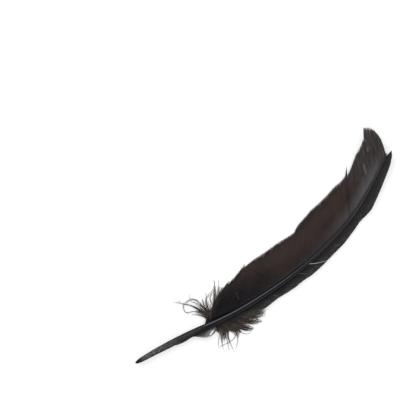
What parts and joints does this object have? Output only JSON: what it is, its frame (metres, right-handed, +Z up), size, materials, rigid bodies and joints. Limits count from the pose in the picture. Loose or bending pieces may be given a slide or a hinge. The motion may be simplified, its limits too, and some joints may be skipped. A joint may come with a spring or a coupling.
{
  "type": "turkey feather",
  "caption": "Large dark brown wing feather of a turkey, lying with its grooved underside up, with worn vanes, a bare quill and loose down.",
  "frame": {"origin": "centre of the feather's box in X and Y, at the level of the surface it lies on", "axes": "+Y from the quill towards the feather's tip, +X towards the narrow vane, +Z up, away from the surface"},
  "size_m": [0.078, 0.3181, 0.0099],
  "materials": {
    "shaft_keratin": "smooth dark horn with a soft shine, paler and mottled on the quill",
    "broad_barbs": "fine parallel barbs, satin, with a pale sheen beside the shaft",
    "narrow_barbs": "fine parallel barbs, satin charcoal",
    "down": "soft loose fluff, matt",
    "membrane": "thin dry skin, slightly see-through"
  },
  "bodies": {
    "root": {"shaft": "shaft_keratin", "broad_vane": "broad_barbs", "narrow_vane": "narrow_barbs", "upper_down": "down", "lower_down": "down", "umbilicus_membrane": "membrane", "sheath_flake": "membrane"}
  },
  "joints": []
}
